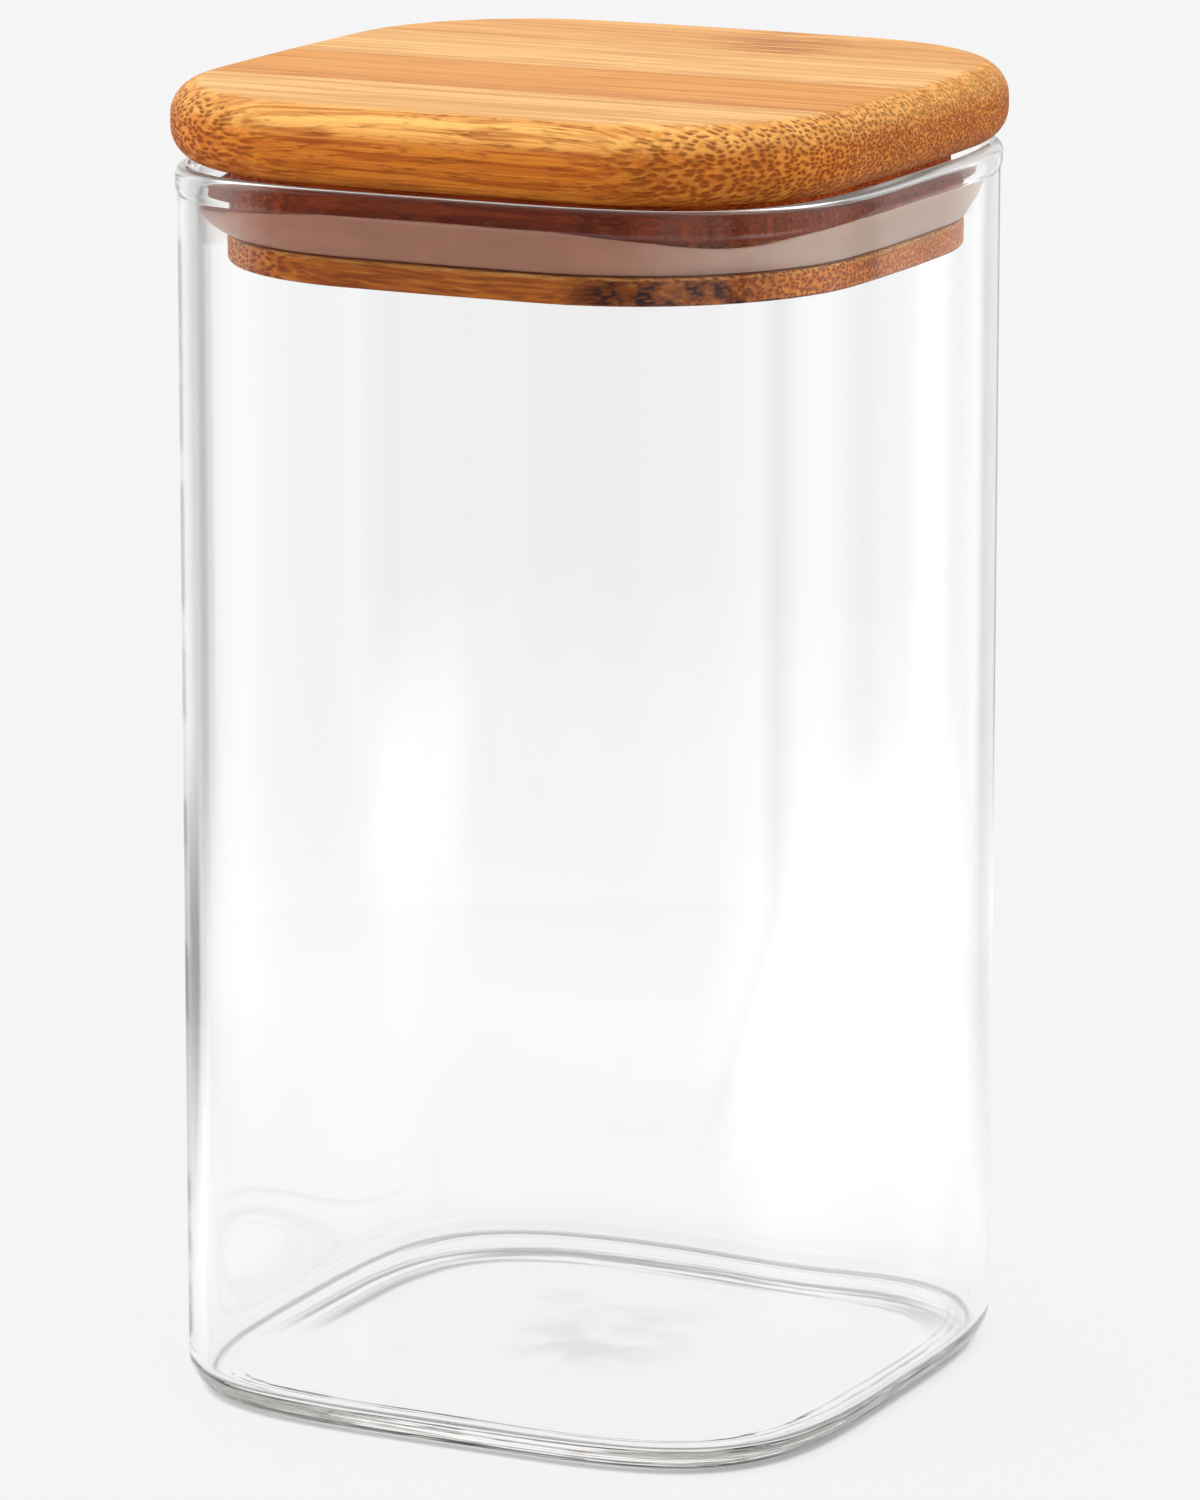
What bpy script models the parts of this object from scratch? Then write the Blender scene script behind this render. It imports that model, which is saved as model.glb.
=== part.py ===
"""Square glass storage jar with a plug lid of laminated bamboo and a silicone lip seal.

The jar stands on the XY plane with +Z up, and its origin is the centre of the base.
The grain of the bamboo runs along X, and the lid lifts straight up. Sizes are in metres.
"""

import math

import bmesh
import bpy
from mathutils import Matrix, Vector

# Glass jar: the outline of the outer wall, and its height
JAR_WIDTH = 0.100
JAR_CORNER_RADIUS = 0.0272
FACE_BOW_RADIUS = 0.500
JAR_HEIGHT = 0.1737
WALL_THICKNESS = 0.0026

# Glass base: rounded heel, flat resting ring, pushed-up centre, crowned floor
HEEL_RADIUS = 0.0050
REST_RING_WIDTH = 0.0060
PUNT_RISE = 0.0010
FLOOR_LEVEL = 0.0032
FLOOR_CROWN = 0.0005
FLOOR_FILLET_RADIUS = 0.0025

# Glass rim: a fire-polished bead that swells out of both sides of the wall
RIM_BEAD_HEIGHT = 0.0042
RIM_BLEND_HEIGHT = 0.0009
RIM_OUTER_SWELL = 0.0004
RIM_INNER_SWELL = 0.0002

# Bamboo board that covers the rim, glued up from laths side by side
BOARD_OVERHANG = 0.0015
BOARD_CORNER_RADIUS = 0.0305
BOARD_THICKNESS = 0.0110
BOARD_EDGE_RADIUS = 0.0048
BOARD_SEAT_GAP = 0.0003
LATH_WIDTH = 0.0250
LATH_COUNT = 4

# Bamboo plug under the board: spigot, seal groove and flange
PLUG_WALL_CLEARANCE = 0.0016
PLUG_CORNER_RADIUS = 0.0315
SPIGOT_HEIGHT = 0.0062
SPIGOT_SETBACK = 0.0005
GROOVE_DEPTH = 0.0018
GROOVE_HEIGHT = 0.0038
FLANGE_THICKNESS = 0.0039
FLANGE_EDGE_RADIUS = 0.0006

# Silicone seal: a root band in the groove, and a lip that leans out to the glass
SEAL_SEAT_GAP = 0.0003
SEAL_RIM_CLEARANCE = 0.0003
SEAL_ROOT_WIDTH = 0.0012
SEAL_EDGE_CHAMFER = 0.0003
LIP_RISE = 0.0067
LIP_DROP_SHARE = 1.0
LIP_ROOT_THICKNESS = 0.0009
LIP_TIP_THICKNESS = 0.0007
LIP_WEB_HEIGHT = 0.0013

# How far a cutter runs past what it cuts
CUT_OVERRUN = 0.0050

# Steps along the outlines and roundings, and the shares of the base where it has rings
CORNER_STEPS = 12
FACE_STEPS = 5
HEEL_STEPS = 6
FILLET_STEPS = 4
RIM_ROUND_STEPS = 8
RIM_BLEND_STEPS = 3
BOARD_EDGE_STEPS = 7
FLANGE_EDGE_STEPS = 3
LIP_STEPS = 4
LIP_TIP_STEPS = 3
BASE_RING_SHARES = (0.80, 0.60, 0.40, 0.20)
SHARP_EDGE_DEGREES = 35

# Finishes: colour, roughness, metallic, transmission and index of refraction
GLASS = ((0.95, 0.97, 0.96), 0.02, 0.0, 1.0, 1.47)
SILICONE = ((0.80, 0.74, 0.69), 0.35, 0.0, 0.4, 1.41)
LIGHT_BAMBOO = ((0.86, 0.55, 0.26), 0.45, 0.0, 0.0, 1.5)
DARK_BAMBOO = ((0.72, 0.39, 0.15), 0.45, 0.0, 0.0, 1.5)
PLUG_BAMBOO = ((0.60, 0.30, 0.11), 0.50, 0.0, 0.0, 1.5)

# Half widths and corner radii, worked out from the glass inwards
JAR_HALF = JAR_WIDTH / 2
BOARD_HALF = JAR_HALF + BOARD_OVERHANG
BORE_HALF = JAR_HALF - WALL_THICKNESS
FLANGE_HALF = BORE_HALF - PLUG_WALL_CLEARANCE
GROOVE_INSET = SPIGOT_SETBACK + GROOVE_DEPTH
LIP_INSET = WALL_THICKNESS + RIM_INNER_SWELL + SEAL_RIM_CLEARANCE

# Levels in the lid's own frame, where zero is the underside of the board
LID_LEVEL = JAR_HEIGHT + BOARD_SEAT_GAP
GROOVE_TOP = -SPIGOT_HEIGHT
FLANGE_TOP = GROOVE_TOP - GROOVE_HEIGHT
FLANGE_BOTTOM = FLANGE_TOP - FLANGE_THICKNESS


def outline(half, corner, bow):
    """Square with bowed faces and round corners, all tangent arcs, as points anticlockwise."""
    setback = bow - half
    corner_centre = (math.sqrt(2 * (bow - corner) ** 2 - setback**2) - setback) / 2
    meeting = math.atan2(corner_centre, corner_centre + setback)
    quarter = []
    for step in range(FACE_STEPS):
        angle = meeting * (2 * step / FACE_STEPS - 1)
        quarter.append(Vector((bow * math.cos(angle) - setback, bow * math.sin(angle))))
    for step in range(CORNER_STEPS):
        angle = meeting + (math.pi / 2 - 2 * meeting) * step / CORNER_STEPS
        centre = Vector((corner_centre, corner_centre))
        quarter.append(centre + corner * Vector((math.cos(angle), math.sin(angle))))
    turns = [Matrix.Rotation(side * math.pi / 2, 2) for side in range(4)]
    return [turn @ point for turn in turns for point in quarter]


def section(half, corner, inset=0.0, share=1.0):
    """Outline of a piece, moved in from its widest by inset, then shrunk to a share."""
    return [point * share for point in outline(half - inset, corner - inset, FACE_BOW_RADIUS - inset)]


def level_ring(points, z):
    """Points of a section, all at one height."""
    return [(point.x, point.y, z) for point in points]


def round_off(inset, z, radius, start, end, steps):
    """Profile points (inset, height) round a centre. 0 degrees points to the axis, 90 up, 180 outwards."""
    angles = [math.radians(start + (end - start) * step / steps) for step in range(steps + 1)]
    return [(inset + radius * math.cos(angle), z + radius * math.sin(angle)) for angle in angles]


def swell_blend(start, height, inset, swell):
    """Profile points where a wall at inset swells towards the axis over a height, as a soft S."""
    shares = [step / RIM_BLEND_STEPS for step in range(RIM_BLEND_STEPS + 1)]
    return [(inset + swell * (1 - math.cos(math.pi * share)) / 2, start + height * share) for share in shares]


def dome(level, rise, share):
    """Height of a pushed-up base: the level at share 1, raised smoothly towards the centre."""
    return level + rise * (1 + math.cos(math.pi * share)) / 2


def loft(name, rings, closed=False, tips=(None, None)):
    """Solid through rings with the same number of points.

    A closed solid joins its last ring to its first, like a tyre. An open one ends in a level
    face, or in a fan to a tip on the axis at the height given for that end.
    """
    mesh = bmesh.new()
    loops = [[mesh.verts.new(point) for point in ring] for ring in rings]
    pairs = list(zip(loops, loops[1:]))
    if closed:
        pairs.append((loops[-1], loops[0]))
    for lower, upper in pairs:
        for i in range(len(lower)):
            mesh.faces.new((lower[i - 1], lower[i], upper[i], upper[i - 1]))
    if not closed:
        for loop, tip in zip((loops[0], loops[-1]), tips):
            if tip is None:
                mesh.faces.new(loop)
            else:
                centre = mesh.verts.new((0, 0, tip))
                for i in range(len(loop)):
                    mesh.faces.new((loop[i - 1], loop[i], centre))
    bmesh.ops.recalc_face_normals(mesh, faces=mesh.faces)
    data = bpy.data.meshes.new(name)
    mesh.to_mesh(data)
    mesh.free()
    data.shade_smooth()
    data.set_sharp_from_angle(angle=math.radians(SHARP_EDGE_DEGREES))
    return data


def profile_solid(name, half, corner, profile, tips=(None, None)):
    """Solid whose wall follows a profile of (inset, height) round the outline of a piece."""
    rings = [level_ring(section(half, corner, inset), z) for inset, z in profile]
    return loft(name, rings, tips=tips)


def new_finish(name, look):
    """Material with one plain finish."""
    colour, roughness, metallic, transmission, refraction = look
    material = bpy.data.materials.new(name)
    material.use_nodes = True
    shader = material.node_tree.nodes["Principled BSDF"]
    shader.inputs["Base Color"].default_value = (*colour, 1.0)
    shader.inputs["Roughness"].default_value = roughness
    shader.inputs["Metallic"].default_value = metallic
    shader.inputs["Transmission Weight"].default_value = transmission
    shader.inputs["IOR"].default_value = refraction
    return material


def add_piece(name, mesh, look, collection, parent=None):
    """Object of one piece, with a material of its own."""
    mesh.name = name
    mesh.materials.append(new_finish(name + "_finish", look))
    piece = bpy.data.objects.new(name, mesh)
    piece.parent = parent
    collection.objects.link(piece)
    return piece


def new_collection(name):
    """Collection in the scene."""
    collection = bpy.data.collections.new(name)
    bpy.context.scene.collection.children.link(collection)
    return collection


def clear_scene():
    """Removes the objects that a new file starts with."""
    for item in list(bpy.data.objects):
        bpy.data.objects.remove(item, do_unlink=True)


def glass_jar_mesh():
    """Vessel: one wall followed from the pushed-up base, round the heel and rim, to the floor inside."""
    bead_start = JAR_HEIGHT - RIM_BEAD_HEIGHT
    outer_blend = swell_blend(bead_start, RIM_BLEND_HEIGHT, 0, -RIM_OUTER_SWELL)
    inner_blend = swell_blend(bead_start, RIM_BLEND_HEIGHT, WALL_THICKNESS, RIM_INNER_SWELL)
    lip_outer = -RIM_OUTER_SWELL
    lip_inner = WALL_THICKNESS + RIM_INNER_SWELL
    lip_radius = (lip_inner - lip_outer) / 2
    fillet_inset = WALL_THICKNESS + FLOOR_FILLET_RADIUS
    fillet_level = FLOOR_LEVEL + FLOOR_FILLET_RADIUS

    profile = [(HEEL_RADIUS + REST_RING_WIDTH, 0)]
    profile += round_off(HEEL_RADIUS, HEEL_RADIUS, HEEL_RADIUS, 270, 180, HEEL_STEPS)
    profile += outer_blend
    profile += round_off(lip_inner - lip_radius, JAR_HEIGHT - lip_radius, lip_radius, 180, 0, RIM_ROUND_STEPS)
    profile += reversed(inner_blend)
    profile += round_off(fillet_inset, fillet_level, FLOOR_FILLET_RADIUS, 180, 270, FILLET_STEPS)
    wall = [level_ring(section(JAR_HALF, JAR_CORNER_RADIUS, inset), z) for inset, z in profile]

    base_inset = HEEL_RADIUS + REST_RING_WIDTH
    base = []
    floor = []
    for share in BASE_RING_SHARES:
        base_section = section(JAR_HALF, JAR_CORNER_RADIUS, base_inset, share)
        floor_section = section(JAR_HALF, JAR_CORNER_RADIUS, fillet_inset, share)
        base.append(level_ring(base_section, dome(0, PUNT_RISE, share)))
        floor.append(level_ring(floor_section, dome(FLOOR_LEVEL, FLOOR_CROWN, share)))
    return loft("glass_jar", base[::-1] + wall + floor, tips=(PUNT_RISE, FLOOR_LEVEL + FLOOR_CROWN))


def board_blank():
    """Board before it is split into laths: flat faces and a bullnose edge all round."""
    radius = BOARD_EDGE_RADIUS
    profile = round_off(radius, radius, radius, 270, 180, BOARD_EDGE_STEPS)
    profile += round_off(radius, BOARD_THICKNESS - radius, radius, 180, 90, BOARD_EDGE_STEPS)
    return profile_solid("board_blank", BOARD_HALF, BOARD_CORNER_RADIUS, profile)


def plug_blank():
    """Plug before it is split into laths: a flange with eased edges, the seal groove and the spigot."""
    radius = FLANGE_EDGE_RADIUS
    profile = round_off(radius, FLANGE_BOTTOM + radius, radius, 270, 180, FLANGE_EDGE_STEPS)
    profile += round_off(radius, FLANGE_TOP - radius, radius, 180, 90, FLANGE_EDGE_STEPS)
    profile += [(GROOVE_INSET, FLANGE_TOP), (GROOVE_INSET, GROOVE_TOP)]
    profile += [(SPIGOT_SETBACK, GROOVE_TOP), (SPIGOT_SETBACK, 0)]
    return profile_solid("plug_blank", FLANGE_HALF, PLUG_CORNER_RADIUS, profile)


def lath_cutter(number, collection, parent):
    """Box that keeps one lath of the lid: the outer laths take what is left beyond the inner joints."""
    reach = BOARD_HALF + CUT_OVERRUN
    low = (number - LATH_COUNT / 2) * LATH_WIDTH if number > 0 else -reach
    high = (number + 1 - LATH_COUNT / 2) * LATH_WIDTH if number < LATH_COUNT - 1 else reach
    bottom = FLANGE_BOTTOM - CUT_OVERRUN
    top = BOARD_THICKNESS + CUT_OVERRUN
    middle = Vector((0, (low + high) / 2, (bottom + top) / 2))
    size = Vector((2 * reach, high - low, top - bottom))
    mesh = bmesh.new()
    bmesh.ops.create_cube(mesh, size=1, matrix=Matrix.LocRotScale(middle, None, size))
    data = bpy.data.meshes.new("lath_cutter")
    mesh.to_mesh(data)
    mesh.free()
    cutter = bpy.data.objects.new(f"lath_cutter_{number + 1}", data)
    cutter.parent = parent
    cutter.hide_render = True
    cutter.display_type = "WIRE"
    collection.objects.link(cutter)
    return cutter


def keep_inside(piece, cutter):
    """Cuts a piece back to what lies inside the cutter."""
    cut = piece.modifiers.new("keep_lath", "BOOLEAN")
    cut.operation = "INTERSECT"
    cut.solver = "EXACT"
    cut.object = cutter


def reach_to(ring, start, direction):
    """Distance from a point inside a ring of points to the ring, in a direction."""
    for corner, following in zip(ring, ring[1:] + ring[:1]):
        side = following - corner
        slant = direction.cross(side)
        if slant:
            distance = (corner - start).cross(side) / slant
            share = (corner - start).cross(direction) / slant
            if distance > 0 and 0 <= share <= 1:
                return distance
    raise ValueError("no side of the ring lies in that direction")


def seal_section(root, groove, band, gap, rise):
    """Section of the seal at one place round the ring, as points in order.

    The lip is a straight sheet. It crosses the gap from its root to the glass while it rises.
    """
    bottom = FLANGE_TOP + SEAL_SEAT_GAP
    top = GROOVE_TOP - SEAL_SEAT_GAP
    outwards = (root - groove).normalized().to_3d()
    upwards = Vector((0, 0, 1))
    along = (outwards * gap + upwards * rise).normalized()
    across = (upwards * gap - outwards * rise).normalized()
    start = root.to_3d() + upwards * bottom
    reach = math.hypot(gap, rise) - LIP_TIP_THICKNESS / 2

    points = [groove.to_3d() + upwards * bottom, start - outwards * SEAL_EDGE_CHAMFER]
    for step in range(LIP_STEPS + 1):
        share = step / LIP_STEPS
        points.append(start + along * (SEAL_EDGE_CHAMFER + (reach - SEAL_EDGE_CHAMFER) * share))
    end = start + along * reach + across * (LIP_TIP_THICKNESS / 2)
    for step in range(1, LIP_TIP_STEPS + 1):
        angle = math.pi * step / LIP_TIP_STEPS
        points.append(end + (along * math.sin(angle) - across * math.cos(angle)) * (LIP_TIP_THICKNESS / 2))
    for step in range(LIP_STEPS - 1, -1, -1):
        share = step / LIP_STEPS
        thickness = LIP_ROOT_THICKNESS + (LIP_TIP_THICKNESS - LIP_ROOT_THICKNESS) * share
        points.append(start + along * (LIP_WEB_HEIGHT + (reach - LIP_WEB_HEIGHT) * share) + across * thickness)
    points.append(band.to_3d() + upwards * (bottom + LIP_WEB_HEIGHT))
    points.append(band.to_3d() + upwards * top)
    points.append(groove.to_3d() + upwards * top)
    return points


def seal_ring_mesh():
    """Ring that seats in the plug's groove, with its lip just clear of the inside of the rim.

    The lip stands up steeply at the faces, where the gap to the glass is narrow. Its tip drops
    as the gap widens, so the lip lies flatter at the corners.
    """
    roots = section(FLANGE_HALF, PLUG_CORNER_RADIUS)
    tips = section(JAR_HALF, JAR_CORNER_RADIUS, LIP_INSET)
    grooves = section(FLANGE_HALF, PLUG_CORNER_RADIUS, GROOVE_INSET - SEAL_SEAT_GAP)
    bands = section(FLANGE_HALF, PLUG_CORNER_RADIUS, GROOVE_INSET - SEAL_SEAT_GAP - SEAL_ROOT_WIDTH)
    face_gap = JAR_HALF - LIP_INSET - FLANGE_HALF
    sections = []
    for root, groove, band in zip(roots, grooves, bands):
        gap = reach_to(tips, root, (root - groove).normalized())
        rise = max(LIP_RISE - LIP_DROP_SHARE * (gap - face_gap), LIP_TIP_THICKNESS)
        sections.append(seal_section(root, groove, band, gap, rise))
    return loft("seal_ring", list(zip(*sections)), closed=True)


def main():
    """Models the jar, then the lid on its own axis."""
    clear_scene()
    parts = new_collection("glass_storage_jar")
    cutters = new_collection("cutters")
    add_piece("glass_jar", glass_jar_mesh(), GLASS, parts)

    lid_axis = bpy.data.objects.new("lid_axis", None)
    lid_axis.location = (0, 0, LID_LEVEL)
    parts.objects.link(lid_axis)
    for number in range(LATH_COUNT):
        cutter = lath_cutter(number, cutters, lid_axis)
        tone = DARK_BAMBOO if number % 2 else LIGHT_BAMBOO
        board = add_piece(f"board_lath_{number + 1}", board_blank(), tone, parts, lid_axis)
        plug = add_piece(f"plug_lath_{number + 1}", plug_blank(), PLUG_BAMBOO, parts, lid_axis)
        keep_inside(board, cutter)
        keep_inside(plug, cutter)
    add_piece("seal_ring", seal_ring_mesh(), SILICONE, parts, lid_axis)


main()
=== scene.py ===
"""Square glass storage jar with a bamboo plug lid, finished in detail round its packed frame.

Laid out as an add-on: sizes and finishes sit in property groups, and each operator makes one
piece or group of like pieces. Run as a script, it makes them all. Sizes are in metres, +Z is
up, and the grain of the bamboo runs along X.
"""

import math

import bmesh
import bpy
from bpy.props import FloatProperty, FloatVectorProperty, IntProperty, PointerProperty
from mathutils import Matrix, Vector


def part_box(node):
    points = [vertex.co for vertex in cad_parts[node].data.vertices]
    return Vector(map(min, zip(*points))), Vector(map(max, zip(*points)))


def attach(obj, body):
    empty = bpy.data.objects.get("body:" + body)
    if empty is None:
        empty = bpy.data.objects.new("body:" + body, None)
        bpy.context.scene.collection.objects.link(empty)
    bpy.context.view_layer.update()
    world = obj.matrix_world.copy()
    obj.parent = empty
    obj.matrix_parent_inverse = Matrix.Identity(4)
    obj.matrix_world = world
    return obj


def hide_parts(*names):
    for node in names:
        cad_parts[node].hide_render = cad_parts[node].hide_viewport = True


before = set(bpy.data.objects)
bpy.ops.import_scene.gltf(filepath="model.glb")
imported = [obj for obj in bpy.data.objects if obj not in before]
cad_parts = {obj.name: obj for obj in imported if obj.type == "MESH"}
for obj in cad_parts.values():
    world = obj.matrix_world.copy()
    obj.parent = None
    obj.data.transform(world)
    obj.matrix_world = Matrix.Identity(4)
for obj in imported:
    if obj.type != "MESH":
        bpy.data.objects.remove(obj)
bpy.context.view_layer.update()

bl_info = {
    "name": "Glass Jar with Bamboo Lid",
    "version": (1, 0, 0),
    "blender": (4, 5, 0),
    "location": "3D View > Sidebar > Storage Jar",
    "description": "Square glass storage jar with a laminated bamboo plug lid and a silicone seal",
    "category": "Add Mesh",
}

BOARD_LATHS = [name for name in sorted(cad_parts) if name.startswith("board_lath")]
PLUG_LATHS = [name for name in sorted(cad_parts) if name.startswith("plug_lath")]
RIM_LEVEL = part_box("glass_jar")[1].z
BOARD_UNDERSIDE, BOARD_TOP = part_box(BOARD_LATHS[0])[0].z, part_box(BOARD_LATHS[0])[1].z
BOARD_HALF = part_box(BOARD_LATHS[1])[1].x
PLUG_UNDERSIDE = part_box(PLUG_LATHS[1])[0].z
PLUG_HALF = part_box(PLUG_LATHS[1])[1].x
SHARP_EDGE = math.radians(35)
WELD_DISTANCE = 0.000001
# How far the block that cuts out an outer lath reaches past the blank.
CUT_OVERRUN = 0.005
# Faces along each stretch of the profiles.
BASE_STEPS, HEEL_STEPS, WALL_STEPS, SWELL_STEPS, RIM_STEPS = 20, 20, 24, 8, 28
FILLET_STEPS, RIPPLE_STEPS, FLOOR_STEPS, BULLNOSE_STEPS, FLANGE_STEPS = 14, 8, 20, 14, 6
GLASS_IOR = 1.47
SILICONE_IOR = 1.41
# Reflections inside the glass after which a path of light counts as trapped.
TRAPPED_BOUNCES = 3.5
# Where the glass meets the floor, as the camera sees it and as it shows through the glass.
FOOT = 0.0468
FOOT_THROUGH_GLASS = 0.0473
# Share of its tone that the floor gives back to the pieces as light.
FLOOR_BOUNCE = 0.55
FLOOR_REACH = 6.0
FLOOR_HEIGHT = -0.0001
TENT_SIDES = 96
# Way towards the brighter side of the room.
SIDE_LIGHT = (0.93, 0.36, 0.0)
LENS_SHIFT = (0.00456, -0.14)


def titled(name):
    """Label of a setting, and of the socket that it feeds."""
    return name.replace("_", " ").title()


def property_kind(make, **options):
    """Maker of properties of one kind, each from its description and its default."""
    return lambda description, default: make(description=description, default=default, **options)


length = property_kind(FloatProperty, min=0, unit="LENGTH", precision=5)
share = property_kind(FloatProperty, min=0, max=1, subtype="FACTOR")
amount = property_kind(FloatProperty, min=0)
count = property_kind(IntProperty, min=1)
bearing = property_kind(FloatProperty, unit="ROTATION")
colour = property_kind(FloatVectorProperty, min=0, max=1, size=3, subtype="COLOR")


class VesselSizes(bpy.types.PropertyGroup):
    """Sizes of the glass vessel."""

    half_width: length("From the axis to the middle of an outer face", 0.0500)
    squareness: amount("Power of the outline's superellipse: 2 is round, more is squarer", 3.85)
    wall: length("Thickness of the wall", 0.0026)
    heel_radius: length("Rounding at the foot of the wall", 0.0050)
    rest_ring: length("Width of the flat ring it stands on", 0.0060)
    punt_rise: length("How far the base is pushed up", 0.0010)
    floor_level: length("Height of the floor inside", 0.0032)
    floor_crown: length("How much higher the floor is in the middle", 0.0009)
    floor_fillet: length("Rounding between the floor and the wall", 0.0016)
    ripple_height: length("Height of the flow ripples round the floor", 0.00003)
    ripple_width: length("Width of one flow ripple", 0.0014)
    ripple_count: count("Number of flow ripples round the floor", 3)
    bead_height: length("Height of the fire-polished rim bead", 0.0042)
    bead_blend: length("Height over which the wall swells into the bead", 0.0016)
    outer_swell: length("How far the bead stands out of the outer face", 0.0003)
    inner_swell: length("How far the bead stands out of the inner face", 0.0001)
    side_steps: count("Faces from one corner to the next", 76)
    corner_crowding: share("How much denser those faces are towards the corners", 0.6)


class LidSizes(bpy.types.PropertyGroup):
    """Sizes of the bamboo board and the plug under it."""

    face_bow: length("Radius to which the faces bow outwards", 0.5000)
    board_corner: length("Corner radius of the board", 0.0305)
    board_edge: length("Radius of the bullnose edge", 0.0048)
    plug_corner: length("Corner radius of the plug", 0.0315)
    spigot_height: length("Height of the plug above the seal groove", 0.0062)
    spigot_setback: length("How far the spigot lies inside the flange", 0.0005)
    groove_depth: length("Depth of the seal groove", 0.0018)
    groove_height: length("Height of the seal groove", 0.0038)
    flange_edge: length("Rounding of the flange's edges", 0.0006)
    corner_steps: count("Faces round each upright corner", 30)
    face_steps: count("Faces across each side", 8)


class SealSizes(bpy.types.PropertyGroup):
    """Sizes of the silicone lip seal."""

    seat_gap: length("Gap to the groove on each side", 0.0003)
    rim_clearance: length("Gap between the lip and the rim", 0.0004)
    root_width: length("Width of the band in the groove", 0.0012)
    edge_chamfer: length("Eased edge where the lip leaves the band", 0.0003)
    web_height: length("Height of the web that joins band and lip", 0.0013)
    lip_rise: length("Height of the lip at the faces", 0.0062)
    lip_drop: share("How far the lip drops for each step that the gap widens", 0.70)
    lip_bulge: length("How far the lip bows outwards between root and tip", 0.0004)
    root_thickness: length("Thickness of the lip at its root", 0.0009)
    tip_thickness: length("Thickness of the lip at its tip", 0.0007)
    lip_steps: count("Faces up the lip", 12)
    tip_steps: count("Faces round the lip's tip", 6)


class Finishes(bpy.types.PropertyGroup):
    """Colours and grain of the jar's materials."""

    glass_tint: colour("Colour of the clear glass", (0.992, 0.994, 0.993))
    # The top's lath colours are partly the laths' own tone and partly a painted sheen that makes them paler.
    light_lath: colour("Colour of the lighter laths on top", (0.86, 0.50, 0.170))
    dark_lath: colour("Colour of the darker laths on top", (0.74, 0.315, 0.052))
    streak_tone: colour("Tone of the darker streaks along the grain", (0.68, 0.47, 0.28))
    knuckle_tone: colour("Tone of the marks at a knuckle of the culm", (0.70, 0.50, 0.28))
    side: colour("Colour of the sides along the grain", (0.76, 0.235, 0.020))
    end_grain: colour("Colour of the end grain round the pores", (0.80, 0.225, 0.015))
    # Painted highlight on the raised wood between the pores of the end grain.
    ridge: colour("Colour of the raised wood between the pores", (1.0, 0.39, 0.065))
    # Painted light: the rounded edge is painted lighter where it turns up towards the top, for the light from
    # above.
    upper_edge: colour("Colour of the rounded edge beside the top", (1.0, 0.54, 0.145))
    pore: colour("Colour of the pores where the fibres end", (0.32, 0.065, 0.006))
    silicone: colour("Colour of the milky silicone", (1.0, 0.50, 0.33))
    # Painted light: the silicone's colour where it is painted paler, for light through it from beside.
    painted_lit_silicone: colour("Colour of the silicone in more light", (1.0, 0.74, 0.60))
    fibre_width: length("Spacing of the fibre bundles across the lath", 0.00076)
    fibre_height: length("Spacing of the fibre bundles through the lath", 0.00052)


class StudioSettings(bpy.types.PropertyGroup):
    """Floor, light and camera of the studio."""

    floor_tone: share("Tone of the floor and backdrop", 0.905)
    light: amount("Level of the light from all round", 1.0)
    tent_radius: length("Radius of the ring that the glass reflects", 0.27)
    tent_height: length("Height of the ring that the glass reflects", 0.9)
    camera_turn: bearing("Direction the camera looks from", 0.4591)
    camera_dip: bearing("How far the camera looks down", 0.1966)
    camera_distance: length("From the jar's axis to the camera, along the floor", 1.0627)
    camera_height: length("Height of the camera", 0.3302)
    focal_length: amount("Focal length in millimetres", 185.86)


GROUPS = {
    "jar_vessel": VesselSizes,
    "jar_lid": LidSizes,
    "jar_seal": SealSizes,
    "jar_finishes": Finishes,
    "jar_studio": StudioSettings,
}


class Value:
    """An output of a node. Sums written with it become math nodes in the same tree."""

    def __init__(self, socket):
        self.socket = socket
        self.tree = socket.id_data

    def math(self, operation, *others):
        """Result of a math node, with this value first."""
        return math_node(self.tree, operation, self, *others)

    def vector(self, operation, other):
        """Result of a vector math node, with this value first."""
        return read(self.tree, "ShaderNodeVectorMath", {0: self, 1: other}, operation=operation)

    def __add__(self, other):
        return self.math("ADD", other)

    def __sub__(self, other):
        return self.math("SUBTRACT", other)

    def __rsub__(self, other):
        return math_node(self.tree, "SUBTRACT", other, self)

    def __mul__(self, other):
        return self.math("MULTIPLY", other)

    def __truediv__(self, other):
        return self.math("DIVIDE", other)

    def __rtruediv__(self, other):
        return math_node(self.tree, "DIVIDE", other, self)

    def __pow__(self, power):
        return self.math("POWER", power)

    def __abs__(self):
        return self.math("ABSOLUTE")


def feed(socket, value):
    """Links a value to an input, or sets the input to a plain one."""
    if isinstance(value, Value):
        socket.id_data.links.new(value.socket, socket)
    else:
        socket.default_value = value


def put(tree, kind, inputs=None, **settings):
    """Node with its settings, and its inputs linked or set by name or number."""
    node = tree.nodes.new(kind)
    for name, value in settings.items():
        setattr(node, name, value)
    for key, value in (inputs or {}).items():
        feed(node.inputs[key], value)
    return node


def read(tree, kind, inputs=None, output=0, **settings):
    """One output of a new node."""
    return Value(put(tree, kind, inputs, **settings).outputs[output])


def math_node(tree, operation, *values):
    """Result of a math node."""
    return read(tree, "ShaderNodeMath", dict(enumerate(values)), operation=operation)


def axes(vector):
    """The three parts of a vector."""
    return [Value(part) for part in put(vector.tree, "ShaderNodeSeparateXYZ", {0: vector}).outputs]


def coordinate(tree, name):
    """A texture coordinate, such as Object or Normal."""
    return read(tree, "ShaderNodeTexCoord", output=name)


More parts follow.
